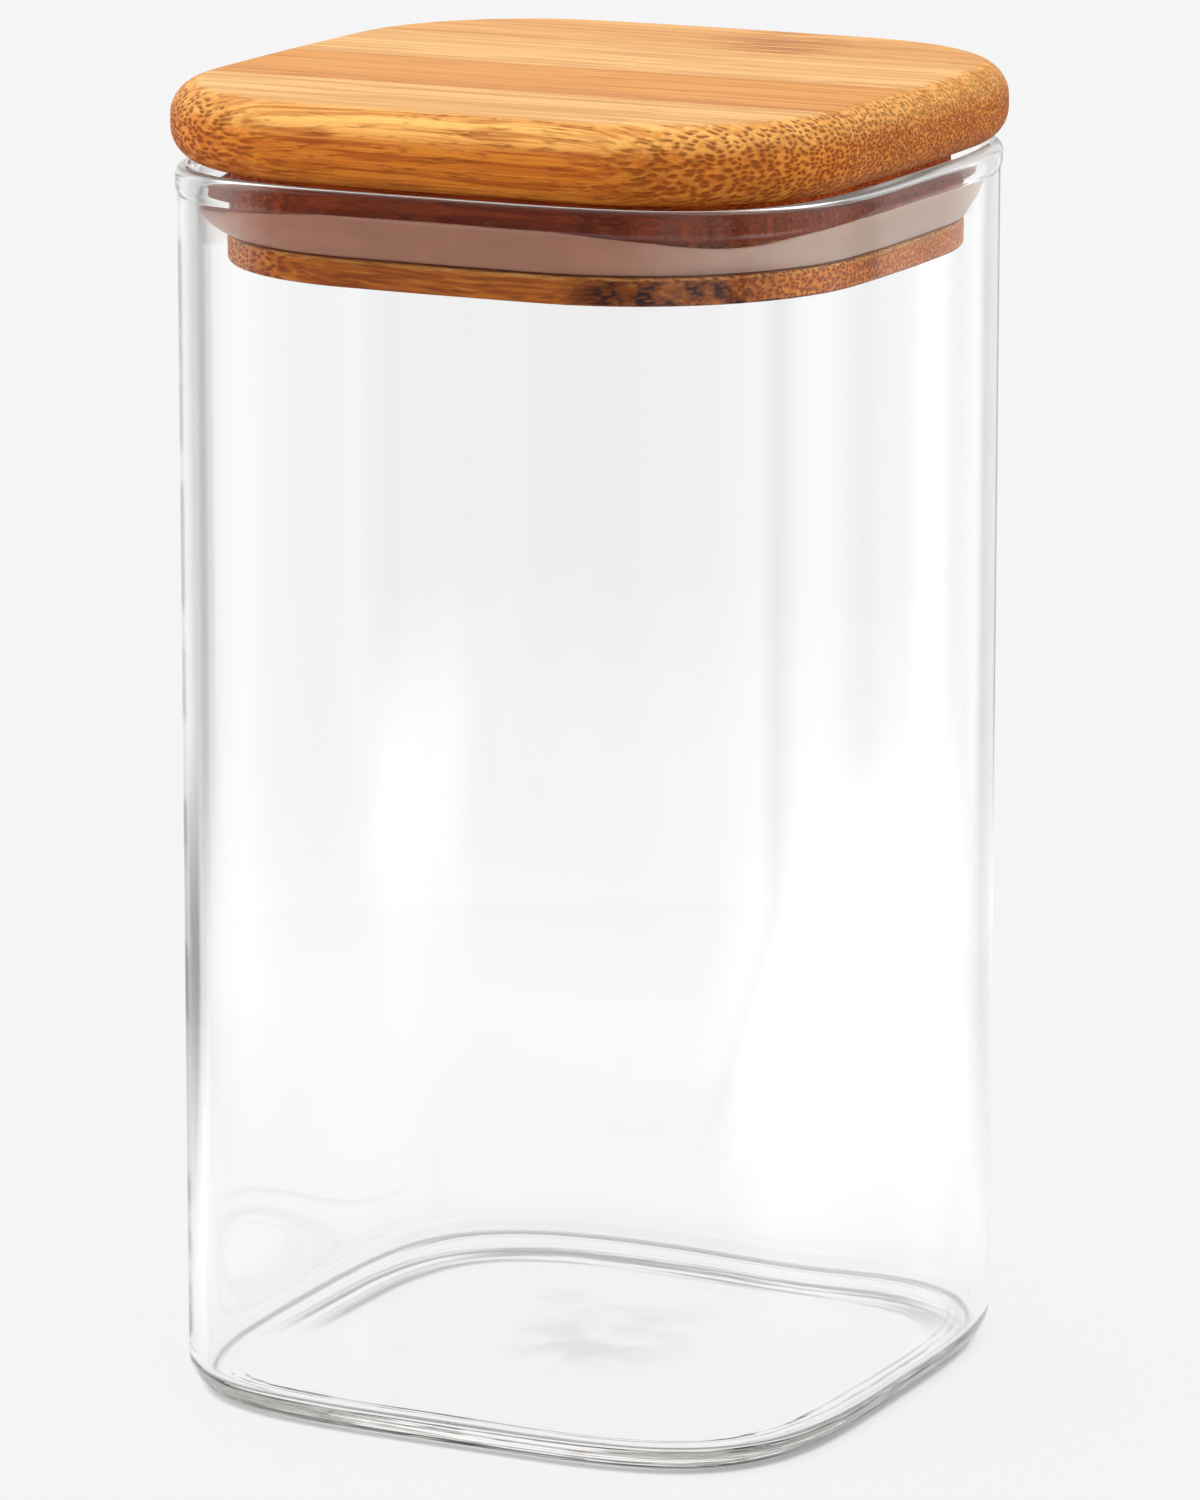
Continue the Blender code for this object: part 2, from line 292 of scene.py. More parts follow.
def ramp(value, low, high, start=0.0, end=1.0):
    """Value carried smoothly from one range to another, and held at its ends."""
    inputs = {"Value": value, "From Min": low, "From Max": high, "To Min": start, "To Max": end}
    return read(value.tree, "ShaderNodeMapRange", inputs, "Result", interpolation_type="SMOOTHSTEP")


def choose(switch, when_off, when_on):
    """One of two numbers, or a mix of them, by a switch from 0 to 1."""
    return read(switch.tree, "ShaderNodeMix", {0: switch, 2: when_off, 3: when_on}, data_type="FLOAT")


def mix_colour(factor, first, second, blend="MIX"):
    """Two colours mixed by a factor."""
    colours = {0: factor, 6: first, 7: second}
    return read(factor.tree, "ShaderNodeMix", colours, 2, data_type="RGBA", blend_type=blend)


def noise(place, scales, detail, output=0):
    """Noise with its own scale along each axis, per metre."""
    inputs = {"Vector": place.vector("MULTIPLY", scales), "Scale": 1.0, "Detail": detail}
    return read(place.tree, "ShaderNodeTexNoise", inputs, output)


def wandered(place, scale, detail, reach):
    """A place moved by a soft noise, by up to half the reach along each axis."""
    drift = noise(place, (scale, scale, scale), detail, "Color")
    return place.vector("ADD", drift.vector("SUBTRACT", (0.5, 0.5, 0.5)).vector("MULTIPLY", reach))


def rgba(value):
    """Colour with its alpha."""
    return (*value, 1.0)


def new_group(name, kind, inputs, outputs):
    """Node group with named inputs (name, socket type, default) and outputs (name, socket type)."""
    tree = bpy.data.node_groups.new(name, kind)
    for label, socket_type, default in inputs:
        socket = tree.interface.new_socket(label, in_out="INPUT", socket_type=socket_type)
        if default is not None:
            socket.default_value = default
    for label, socket_type in outputs:
        tree.interface.new_socket(label, in_out="OUTPUT", socket_type=socket_type)
    given = {socket.name: Value(socket) for socket in tree.nodes.new("NodeGroupInput").outputs}
    return tree, given, tree.nodes.new("NodeGroupOutput").inputs


def number_inputs(numbers):
    """Inputs of a group for whole and other numbers, from their labels and defaults."""
    kinds = {int: "NodeSocketInt", float: "NodeSocketFloat"}
    return [(label, kinds[type(default)], default) for label, default in numbers.items()]


PROFILE_INPUT = ("Profile", "NodeSocketGeometry", None)
MATERIAL_INPUT = ("Material", "NodeSocketMaterial", None)
BLANK_INPUTS = [PROFILE_INPUT] + number_inputs(
    {"Half Width": 0.05, "Corner Radius": 0.027, "Face Bow": 0.5, "Corner Steps": 24, "Face Steps": 8}
)
VESSEL_INPUTS = [PROFILE_INPUT] + number_inputs(
    {"Half Width": 0.05, "Squareness": 3.85, "Corner Crowding": 0.6, "Side Steps": 64}
)
BODY_OUTPUT = [("Body", "NodeSocketGeometry")]


def ring_grid(tree, profile, side_steps):
    """Grid with a row for each point of the profile. The profile's X is how far a ring lies inside
    the outline, its Y the share that the ring is shrunk to, and its Z the ring's height."""
    around = side_steps * 4.0
    counted = {"Geometry": profile}
    rings = read(tree, "GeometryNodeAttributeDomainSize", counted, "Point Count", component="MESH")
    ring_steps = rings - 1.0
    sides = {"Size X": around, "Size Y": ring_steps, "Vertices X": around + 1.0, "Vertices Y": rings}
    grid = read(tree, "GeometryNodeMeshGrid", sides, "Mesh")
    position = read(tree, "GeometryNodeInputPosition")
    x, y, _ = axes(position)
    column = (x + around / 2.0).math("ROUND")
    ring = (y + ring_steps / 2.0).math("ROUND")
    quarter = (column / side_steps).math("FLOOR")
    step = column - quarter * side_steps
    inputs = {"Geometry": profile, "Index": ring, "Value": position}
    sample = read(tree, "GeometryNodeSampleIndex", inputs, "Value", data_type="FLOAT_VECTOR", clamp=True)
    return grid, quarter, step, axes(sample)


def placed_rings(tree, grid, quarter, profile, x, y):
    """The grid set round the axis, from the place that each point has on the +X side, and closed."""
    flat = read(tree, "ShaderNodeCombineXYZ", {0: x * profile[1], 1: y * profile[1], 2: profile[2]})
    turn = {"Vector": flat, "Angle": quarter * (math.pi / 2)}
    turned = read(tree, "ShaderNodeVectorRotate", turn, rotation_type="Z_AXIS")
    placed = read(tree, "GeometryNodeSetPosition", {"Geometry": grid, "Position": turned})
    return read(tree, "GeometryNodeMergeByDistance", {"Geometry": placed, "Distance": WELD_DISTANCE})


def blank_group():
    """Body whose outline is a square with bowed faces and round corners, all tangent arcs."""
    tree, given, result = new_group("Round square blank", "GeometryNodeTree", BLANK_INPUTS, BODY_OUTPUT)
    half, corner, bow = given["Half Width"], given["Corner Radius"], given["Face Bow"]
    face_steps, corner_steps = given["Face Steps"], given["Corner Steps"]
    grid, quarter, step, profile = ring_grid(tree, given["Profile"], face_steps + corner_steps)

    setback = bow - half
    root = ((bow - corner) ** 2.0 * 2.0 - setback**2.0).math("SQRT")
    corner_centre = (root - setback) / 2.0
    meeting = corner_centre.math("ARCTAN2", corner_centre + setback)

    on_face = step.math("LESS_THAN", face_steps)
    face_angle = meeting * (step * 2.0 / face_steps - 1.0)
    corner_share = (step - face_steps) / corner_steps
    corner_angle = (math.pi / 2 - meeting * 2.0).math("MULTIPLY_ADD", corner_share, meeting)
    angle = choose(on_face, corner_angle, face_angle)
    radius = choose(on_face, corner, bow) - profile[0]
    x = radius.math("MULTIPLY_ADD", angle.math("COSINE"), choose(on_face, corner_centre, setback * -1.0))
    y = radius.math("MULTIPLY_ADD", angle.math("SINE"), choose(on_face, corner_centre, 0.0))
    feed(result["Body"], placed_rings(tree, grid, quarter, profile, x, y))
    return tree


def vessel_group():
    """Body whose outline is a superellipse, so that its faces run into its corners without a seam."""
    tree, given, result = new_group("Squared body", "GeometryNodeTree", VESSEL_INPUTS, BODY_OUTPUT)
    half, power = given["Half Width"], given["Squareness"]
    grid, quarter, step, profile = ring_grid(tree, given["Profile"], given["Side Steps"])

    way = step * 2.0 / given["Side Steps"] - 1.0
    way = choose(given["Corner Crowding"], way, (way * (math.pi / 2)).math("SINE"))
    inverse = 1.0 / power
    side = way * math_node(tree, "POWER", 0.5, inverse)
    out = (1.0 - abs(side) ** power) ** inverse
    slope = power - 1.0
    normal_x = out**slope
    normal_y = abs(side) ** slope * side.math("SIGN")
    inset = profile[0] / (normal_x**2.0 + normal_y * normal_y).math("SQRT")
    x = half * out - inset * normal_x
    y = half * side - inset * normal_y
    feed(result["Body"], placed_rings(tree, grid, quarter, profile, x, y))
    return tree


def finish_tree(geometry, material, result):
    """Ends a tree: smooth, as real geometry, with its material."""
    tree = geometry.tree
    smooth = read(tree, "GeometryNodeSetShadeSmooth", {"Geometry": geometry})
    real = read(tree, "GeometryNodeRealizeInstances", {0: smooth})
    feed(result[0], read(tree, "GeometryNodeSetMaterial", {"Geometry": real, "Material": material}))


def body_node(tree, given, body, inputs):
    """A body inside another tree, fed from inputs of the same names."""
    return read(tree, "GeometryNodeGroup", {label: given[label] for label, _, _ in inputs}, node_tree=body)


def moulded_tree(body):
    """Whole moulded body, such as the glass vessel."""
    inputs = VESSEL_INPUTS + [MATERIAL_INPUT]
    tree, given, result = new_group("Moulded vessel", "GeometryNodeTree", inputs, BODY_OUTPUT)
    finish_tree(body_node(tree, given, body, VESSEL_INPUTS), given["Material"], result)
    return tree


def lath_tree(body):
    """One lath of a glued-up blank: what lies between two planes across Y."""
    inputs = BLANK_INPUTS + [MATERIAL_INPUT]
    inputs += [(label, "NodeSocketVector", (1, 1, 1)) for label in ("Lath Middle", "Lath Size")]
    tree, given, result = new_group("Lath of a blank", "GeometryNodeTree", inputs, BODY_OUTPUT)
    block = read(tree, "GeometryNodeMeshCube", {"Size": given["Lath Size"]}, "Mesh")
    block = read(tree, "GeometryNodeTransform", {"Geometry": block, "Translation": given["Lath Middle"]})
    cut = put(tree, "GeometryNodeMeshBoolean", operation="INTERSECT", solver="EXACT")
    for solid in (body_node(tree, given, body, BLANK_INPUTS), block):
        feed(cut.inputs["Mesh 2"], solid)
    finish_tree(Value(cut.outputs["Mesh"]), given["Material"], result)
    return tree


def profile_piece(name, profile, tree, values):
    """Piece that a tree makes from a profile of (inset, share, height), as a plain mesh."""
    mesh = bpy.data.meshes.new(name)
    mesh.from_pydata(profile, [], [])
    piece = bpy.data.objects.new(name, mesh)
    bpy.context.scene.collection.objects.link(piece)
    modifier = piece.modifiers.new("shape", "NODES")
    modifier.node_group = tree
    for item in tree.interface.items_tree:
        if item.item_type == "SOCKET" and item.name in values:
            modifier[item.identifier] = values[item.name]
    bpy.context.view_layer.update()
    shaped = bpy.data.meshes.new_from_object(piece.evaluated_get(bpy.context.evaluated_depsgraph_get()))
    piece.modifiers.clear()
    piece.data = shaped
    shaped.name = name
    bpy.data.meshes.remove(mesh)
    shaped.set_sharp_from_angle(angle=SHARP_EDGE)
    if not shaped.polygons:
        raise RuntimeError(f"{name} came out empty")
    return piece


def round_off(inset, z, radius, start, end, steps):
    """Profile points round a centre. 0 degrees points to the axis, 90 up, 180 outwards."""
    angles = [math.radians(start + (end - start) * step / steps) for step in range(steps + 1)]
    return [(inset + radius * math.cos(angle), 1.0, z + radius * math.sin(angle)) for angle in angles]


def swell_blend(start, height, inset, swell):
    """Profile points where a wall swells towards the axis over a height, as a soft S."""
    shares = [step / SWELL_STEPS for step in range(SWELL_STEPS + 1)]
    swells = [swell * (1 - math.cos(math.pi * part)) / 2 for part in shares]
    return [(inset + rise, 1.0, start + height * part) for rise, part in zip(swells, shares)]


def dome(level, rise, part):
    """Height of a dome: the level at its edge, where the share is 1, raised towards the centre."""
    return level + rise * (1 + math.cos(math.pi * part)) / 2


def vessel_profile(sizes):
    """Profile of the glass, from the centre of the base, round heel and rim, to the middle of the floor."""
    bead_start = RIM_LEVEL - sizes.bead_height
    inner = sizes.wall + sizes.inner_swell
    lip = (inner + sizes.outer_swell) / 2
    fillet_inset = sizes.wall + sizes.floor_fillet
    base_inset = sizes.heel_radius + sizes.rest_ring
    wall_height = bead_start - sizes.heel_radius
    wall_levels = [sizes.heel_radius + wall_height * step / WALL_STEPS for step in range(1, WALL_STEPS)]
    fillet_end = sizes.floor_level + 2 * sizes.floor_fillet

    base_shares = [step / BASE_STEPS for step in range(BASE_STEPS + 1)]
    profile = [(base_inset, part, dome(0.0, sizes.punt_rise, part)) for part in base_shares]
    profile += round_off(sizes.heel_radius, sizes.heel_radius, sizes.heel_radius, 270, 180, HEEL_STEPS)
    profile += [(0.0, 1.0, level) for level in wall_levels]
    profile += swell_blend(bead_start, sizes.bead_blend, 0, -sizes.outer_swell)
    profile += round_off(inner - lip, RIM_LEVEL - lip, lip, 180, 0, RIM_STEPS)
    profile += swell_blend(bead_start, sizes.bead_blend, sizes.wall, sizes.inner_swell)[::-1]
    profile += [(sizes.wall, 1.0, level) for level in wall_levels[::-1] if level > fillet_end]
    fillet_centre = sizes.floor_level + sizes.floor_fillet
    profile += round_off(fillet_inset, fillet_centre, sizes.floor_fillet, 180, 270, FILLET_STEPS)

    floor_half = sizes.half_width - fillet_inset
    span = sizes.ripple_width * sizes.ripple_count
    steps = sizes.ripple_count * RIPPLE_STEPS
    for step in range(1, steps + 1):
        part = step / steps
        wave = math.sin(2 * math.pi * sizes.ripple_count * part)
        ripple = sizes.ripple_height * math.sin(math.pi * part) * wave
        level = dome(sizes.floor_level, sizes.floor_crown, 1 - span * part / floor_half)
        profile.append((fillet_inset + span * part, 1.0, level + ripple))
    inset = fillet_inset + span
    for part in [step / FLOOR_STEPS for step in range(FLOOR_STEPS - 1, -1, -1)]:
        level = dome(sizes.floor_level, sizes.floor_crown, part * (1 - span / floor_half))
        profile.append((inset, part, level))
    return profile


def board_profile(sizes):
    """Profile of the board before it is split into laths."""
    radius = sizes.board_edge
    profile = [(radius, 0.0, BOARD_UNDERSIDE)]
    profile += round_off(radius, BOARD_UNDERSIDE + radius, radius, 270, 180, BULLNOSE_STEPS)
    profile += round_off(radius, BOARD_TOP - radius, radius, 180, 90, BULLNOSE_STEPS)
    return profile + [(radius, 0.0, BOARD_TOP)]


def plug_profile(sizes):
    """Profile of the plug: flange, seal groove and spigot."""
    radius = sizes.flange_edge
    groove_top = BOARD_UNDERSIDE - sizes.spigot_height
    flange_top = groove_top - sizes.groove_height
    groove_inset = sizes.spigot_setback + sizes.groove_depth
    profile = [(radius, 0.0, PLUG_UNDERSIDE)]
    profile += round_off(radius, PLUG_UNDERSIDE + radius, radius, 270, 180, FLANGE_STEPS)
    profile += round_off(radius, flange_top - radius, radius, 180, 90, FLANGE_STEPS)
    profile += [(groove_inset, 1.0, flange_top), (groove_inset, 1.0, groove_top)]
    profile += [(sizes.spigot_setback, 1.0, groove_top), (sizes.spigot_setback, 1.0, BOARD_UNDERSIDE)]
    return profile + [(sizes.spigot_setback, 0.0, BOARD_UNDERSIDE)]


def round_the_axis(quarter):
    """A quarter of an outline, as (x, y) points, carried all the way round."""
    points = list(quarter)
    for _ in range(3):
        quarter = [(-y, x) for x, y in quarter]
        points += quarter
    return [Vector(point) for point in points]


def vessel_outline(vessel, inset):
    """Superellipse of the vessel, moved in by an inset, as points anticlockwise."""
    power = vessel.squareness
    quarter = []
    for step in range(vessel.side_steps):
        way = 2 * step / vessel.side_steps - 1
        way += (math.sin(math.pi * way / 2) - way) * vessel.corner_crowding
        side = way * 0.5 ** (1 / power)
        point = Vector(((1 - abs(side) ** power) ** (1 / power), side))
        normal = Vector((point.x ** (power - 1), math.copysign(abs(side) ** (power - 1), side)))
        quarter.append(tuple(point * vessel.half_width - normal.normalized() * inset))
    return round_the_axis(quarter)


def outline(half, corner, bow, settings):
    """Square with bowed faces and round corners, all tangent arcs, as points anticlockwise."""
    setback = bow - half
    corner_centre = (math.sqrt(2 * (bow - corner) ** 2 - setback**2) - setback) / 2
    meeting = math.atan2(corner_centre, corner_centre + setback)
    quarter = []
    for step in range(settings.face_steps):
        angle = meeting * (2 * step / settings.face_steps - 1)
        quarter.append((bow * math.cos(angle) - setback, bow * math.sin(angle)))
    for step in range(settings.corner_steps):
        angle = meeting + (math.pi / 2 - 2 * meeting) * step / settings.corner_steps
        quarter.append((corner_centre + corner * math.cos(angle), corner_centre + corner * math.sin(angle)))
    return round_the_axis(quarter)


def reach_to(ring, start, direction):
    """Distance from a point inside a ring of points to the ring, in a direction."""
    for corner, following in zip(ring, ring[1:] + ring[:1]):
        side = following - corner
        slant = direction.cross(side)
        if slant:
            distance = (corner - start).cross(side) / slant
            part = (corner - start).cross(direction) / slant
            if distance > 0 and 0 <= part <= 1:
                return distance
    raise ValueError("no side of the ring lies in that direction")


def seal_section(root, groove, band, gap, rise, lid, seal):
    """Section of the seal at one place round the ring: the band in the groove, and the bowed lip."""
    groove_top = BOARD_UNDERSIDE - lid.spigot_height
    bottom = groove_top - lid.groove_height + seal.seat_gap
    top = groove_top - seal.seat_gap
    outwards = (root - groove).normalized().to_3d()
    upwards = Vector((0, 0, 1))
    along = (outwards * gap + upwards * rise).normalized()
    across = (upwards * gap - outwards * rise).normalized()
    start = root.to_3d() + upwards * bottom
    tip_radius = seal.tip_thickness / 2
    reach = math.hypot(gap, rise) - tip_radius

    def on_lip(distance, depth):
        bulge = seal.lip_bulge * math.sin(math.pi * distance / (reach + tip_radius))
        return start + along * distance + across * (depth - bulge)

    points = [groove.to_3d() + upwards * bottom, start - outwards * seal.edge_chamfer]
    for step in range(seal.lip_steps + 1):
        distance = seal.edge_chamfer + (reach - seal.edge_chamfer) * step / seal.lip_steps
        points.append(on_lip(distance, 0))
    end = on_lip(reach, tip_radius)
    for step in range(1, seal.tip_steps + 1):
        angle = math.pi * step / seal.tip_steps
        points.append(end + (along * math.sin(angle) - across * math.cos(angle)) * tip_radius)
    for step in range(seal.lip_steps - 1, -1, -1):
        part = step / seal.lip_steps
        thickness = seal.root_thickness + (seal.tip_thickness - seal.root_thickness) * part
        points.append(on_lip(seal.web_height + (reach - seal.web_height) * part, thickness))
    points.append(band.to_3d() + upwards * (bottom + seal.web_height))
    points.append(band.to_3d() + upwards * top)
    points.append(groove.to_3d() + upwards * top)
    return points


def seal_mesh(vessel, lid, seal):
    """Ring that seats in the groove, with a lip that stands steeper at the faces than at the corners."""
    groove_inset = lid.spigot_setback + lid.groove_depth - seal.seat_gap
    rim_inset = vessel.wall + vessel.inner_swell + seal.rim_clearance

    def ring(inset):
        return outline(PLUG_HALF - inset, lid.plug_corner - inset, lid.face_bow - inset, lid)

    roots = ring(0)
    grooves = ring(groove_inset)
    bands = ring(groove_inset - seal.root_width)
    rim = vessel_outline(vessel, rim_inset)
    face_gap = vessel.half_width - rim_inset - PLUG_HALF
    mesh = bmesh.new()
    sections = []
    for root, groove, band in zip(roots, grooves, bands):
        gap = reach_to(rim, root, (root - groove).normalized())
        rise = max(seal.lip_rise - seal.lip_drop * (gap - face_gap), seal.tip_thickness)
        section = seal_section(root, groove, band, gap, rise, lid, seal)
        sections.append([mesh.verts.new(point) for point in section])
    for first, second in zip(sections, sections[1:] + sections[:1]):
        for number in range(len(first)):
            mesh.faces.new((first[number - 1], first[number], second[number], second[number - 1]))
    bmesh.ops.recalc_face_normals(mesh, faces=mesh.faces)
    data = bpy.data.meshes.new("lip_seal")
    mesh.to_mesh(data)
    mesh.free()
    data.shade_smooth()
    data.set_sharp_from_angle(angle=SHARP_EDGE)
    return data


GRAIN_COLOURS = ("streak_tone", "side", "end_grain", "upper_edge", "ridge", "pore", "knuckle_tone")
BAMBOO_INPUTS = [
    *((titled(name), "NodeSocketColor", (1, 1, 1, 1)) for name in ("ground", *GRAIN_COLOURS)),
    ("Shift", "NodeSocketVector", (0, 0, 0)),
    *number_inputs({"Fibre Width": 0.001, "Fibre Height": 0.001, "Streaks": 0.5}),
    # The level input is where a painted shade starts, for the shade under the board.
    *number_inputs({"Knuckle Place": 0.0, "Knuckle": 0.0, "Painted Shade Height": 1.0, "Corner Stain": 0.3}),
]
BAMBOO_OUTPUTS = [
    ("Color", "NodeSocketColor"),
    ("Roughness", "NodeSocketFloat"),
    ("Height", "NodeSocketFloat"),
]
# Noise scales along the grain and across it, per metre.
WIDE_STREAKS = (5.0, 170.0, 170.0)
MEDIUM_STREAKS = (10.0, 1100.0, 1100.0)
FINE_STREAKS = (30.0, 3600.0, 3600.0)
KNUCKLE_SWIRL = (70.0, 900.0, 900.0)
PORE_DASHES = (240.0, 1100.0, 1100.0)
SIDE_GROOVES = (40.0, 1500.0, 1500.0)
STAIN_MOTTLE = (220.0, 500.0, 500.0)
# Tones that darken the wood: in the grooves of its sides, where it is stained, and a painted shade above a
# level, for the shade under the board.
GROOVE_TONE = (0.62, 0.42, 0.30, 1)
CORNER_TONE = (0.06, 0.012, 0.005, 1)
PAINTED_SHADE_TONE = (0.56, 0.29, 0.09, 1)
STAIN_BAND = -0.0105


def bamboo_group():
    """Bamboo whose fibres run along X, with pores where they end, and a darker rounded edge. It holds painted
    light: a painted sheen that partly makes the top paler, a painted lighter band where the edge turns up to
    the top, a painted highlight on the raised wood round the pores, and a painted shade above a level.
    """
    tree, given, result = new_group("Bamboo grain", "ShaderNodeTree", BAMBOO_INPUTS, BAMBOO_OUTPUTS)
    normal = axes(coordinate(tree, "Normal"))
    at = axes(coordinate(tree, "Object"))
    place = coordinate(tree, "Object").vector("ADD", given["Shift"])
    place = wandered(place, 26.0, 2.0, (0.0, 0.0036, 0.0030))
    fibre = axes(wandered(place, 420.0, 1.0, (0.0, 0.0010, 0.0010)))
    end_grain = ramp(abs(normal[0]), 0.02, 0.40)
    top_face = ramp(normal[2], 0.955, 0.985)

    # The pores are cells across the grain, which get smaller towards +Y. Along the sides they are cut
    # lengthwise, as dashes.
    across = fibre[1] / given["Fibre Width"] * (at[1] * 3.0 + 1.0)
    through = fibre[2] / given["Fibre Height"] * (at[1] * 5.5 + 1.0)
    section = read(tree, "ShaderNodeCombineXYZ", {0: across, 1: through})
    cells = {"Vector": section, "Scale": 1.0, "Randomness": 0.8}
    bundles = put(tree, "ShaderNodeTexVoronoi", cells, voronoi_dimensions="2D").outputs
    size = read(tree, "ShaderNodeSeparateColor", {0: Value(bundles["Color"])})
    from_pore = Value(bundles["Distance"]) - size * 0.10
    dashes = ramp(noise(place, PORE_DASHES, 1.0), 0.50, 0.66, 0.0, 0.70)
    shown = choose(end_grain, dashes, 1.0) * (1.0 - top_face)
    pore = ramp(from_pore, 0.34, 0.10) * ramp(at[1], -0.035, 0.030, 0.90, 0.50) * shown
    ridge = ramp(from_pore, 0.30, 0.55) * shown * end_grain

    wide = noise(place, WIDE_STREAKS, 2.0)
    medium = noise(place, MEDIUM_STREAKS, 3.0)
    fine = noise(place, FINE_STREAKS, 1.0)
    streak = ramp(wide * 0.28 + (medium * 0.44 + fine * 0.28), 0.42, 0.58) * given["Streaks"]
    swirl = ramp(noise(place, KNUCKLE_SWIRL, 3.0), 0.45, 0.56)
    knuckle = ramp(abs(at[0] - given["Knuckle Place"]), 0.014, 0.003) * swirl * given["Knuckle"]

    side = mix_colour(end_grain, given["Side"], given["End Grain"])
    # Painted light: the edge is painted lighter as it turns upwards.
    side = mix_colour(ramp(normal[2], -0.05, 0.70), side, given["Upper Edge"])
    grooves = noise(place, SIDE_GROOVES, 2.0)
    side = mix_colour(ramp(grooves, 0.49, 0.62) * (0.75 - end_grain * 0.75), side, GROOVE_TONE, "MULTIPLY")
    # Painted highlight: the raised wood between the pores is painted lighter.
    side = mix_colour(ridge * 0.5, side, given["Ridge"])
    # The top takes the paler ground colour: partly the laths' own tone, partly a painted sheen.
    wood = mix_colour(top_face, side, given["Ground"])
    wood = mix_colour(streak, wood, given["Streak Tone"], "MULTIPLY")
    wood = mix_colour(knuckle, wood, given["Knuckle Tone"], "MULTIPLY")

    # A dark staining on the corner towards +X and on a narrow band of that end. Above a level, a painted
    # shade darkens the wood, for the shade under the board.
    corner = ramp(normal[0], 0.05, 0.30) * ramp(normal[0], 0.95, 0.70)
    band = ramp(abs(at[1] - STAIN_BAND), 0.0040, 0.0010, 0.0, 0.45) * ramp(normal[0], 0.90, 0.97)
    mottle = ramp(noise(place, STAIN_MOTTLE, 2.0), 0.35, 0.60, 0.45, 1.0)
    painted_shade_above = ramp(at[2], given["Painted Shade Height"], given["Painted Shade Height"] + 0.0010)
    corner = corner.math("MAXIMUM", band) * mottle * given["Corner Stain"]
    corner = corner * ramp(normal[2], 0.75, 0.0) * (1.0 - painted_shade_above * 0.5)
    wood = mix_colour(corner, wood, CORNER_TONE, "MULTIPLY")
    wood = mix_colour(painted_shade_above, wood, PAINTED_SHADE_TONE, "MULTIPLY")
    feed(result["Color"], mix_colour(pore, wood, given["Pore"]))

    feed(result["Roughness"], pore * 0.18 + (medium * 0.16 + 0.40))
    pits = ramp(from_pore, 0.10, 0.50) * shown
    feed(result["Height"], fine * 0.20 + (grooves * (top_face - 1.0) + pits))
    return tree


def new_material(name, settings):
    """Material with its node tree and its Principled shader, whose plain inputs are set."""
    material = bpy.data.materials.new(name)
    material.use_nodes = True
    shader = material.node_tree.nodes["Principled BSDF"].inputs
    for label, value in settings.items():
        shader[label].default_value = value
    return material, material.node_tree, shader


def bump(shader, height, distance, strength):
    """Bump from a height, in metres, into the shader's normal."""
    inputs = {"Height": height, "Distance": distance, "Strength": strength}
    feed(shader["Normal"], read(height.tree, "ShaderNodeBump", inputs))


def bamboo_material(name, finishes, ground, shift, **values):
    """Bamboo of one lath: its own ground colour, and its own place in the grain."""
    material, tree, shader = new_material(name, {"Specular IOR Level": 0.10})
    settings = {name: rgba(getattr(finishes, name)) for name in GRAIN_COLOURS}
    settings |= {"fibre_width": finishes.fibre_width, "fibre_height": finishes.fibre_height}
    settings |= {"ground": rgba(ground), "shift": shift, **values}
    inputs = {titled(name): value for name, value in settings.items()}
    group = shared_tree("Bamboo grain", bamboo_group)
    grain = put(tree, "ShaderNodeGroup", inputs, node_tree=group).outputs
    feed(shader["Base Color"], Value(grain["Color"]))
    feed(shader["Roughness"], Value(grain["Roughness"]))
    bump(shader, Value(grain["Height"]), 0.00026, 0.9)
    return material


def glass_material(finishes):
    """Clear borosilicate glass with faint draw lines.

    A path of light that is trapped in the wall or the heel ends unseen after some bounces. There the glass
    gives off a painted glow instead of black: streaky painted light and shade in the soft tone of the glass,
    with finer streaks at the heel and a dim band below the rim.
    """
    plain = {
        "Base Color": rgba(finishes.glass_tint),
        "Roughness": 0.0,
        "IOR": GLASS_IOR,
        "Transmission Weight": 1.0,
        "Emission Strength": 1.0,
    }
    material, tree, shader = new_material("clear_glass", plain)
    place = coordinate(tree, "Object")
    level = axes(place)[2]
    draw_lines = noise(place, (120.0, 120.0, 3.0), 1.0) * 0.08
    chill = noise(place, (20.0, 20.0, 1100.0), 2.0) * ramp(level, 0.0075, 0.0035, 0.0, 0.30)
    flat = ramp(abs(axes(coordinate(tree, "Normal"))[2]), 0.85, 0.98, 0.06, 0.10)
    flow = noise(place, (75.0, 75.0, 75.0), 2.0) * flat
    bump(shader, flow + (draw_lines + chill), 0.00025, 0.8)

    # Painted glow: where a path is trapped, the glass gives off streaky painted tones instead of black.
    bounces = read(tree, "ShaderNodeLightPath", output="Glossy Depth")
    fresnel = read(tree, "ShaderNodeFresnel", {"IOR": GLASS_IOR})
    trapped = bounces.math("GREATER_THAN", TRAPPED_BOUNCES) * fresnel
    heel = ramp(noise(place, (110.0, 110.0, 1400.0), 2.0), 0.47, 0.61, 0.01, 0.32)
    wall = ramp(noise(place, (20.0, 20.0, 90.0), 1.0), 0.45, 0.59, 0.11, 0.34)
    wall = choose(ramp(level, RIM_LEVEL - 0.0075, RIM_LEVEL - 0.0040), wall, 0.10)
    tone = choose(ramp(level, 0.007, 0.012), heel, wall)
    glow = read(tree, "ShaderNodeCombineColor", {0: tone, 1: tone * 0.97, 2: tone * 0.92})
    feed(shader["Emission Color"], mix_colour(trapped, (0, 0, 0, 1), glow))
    return material


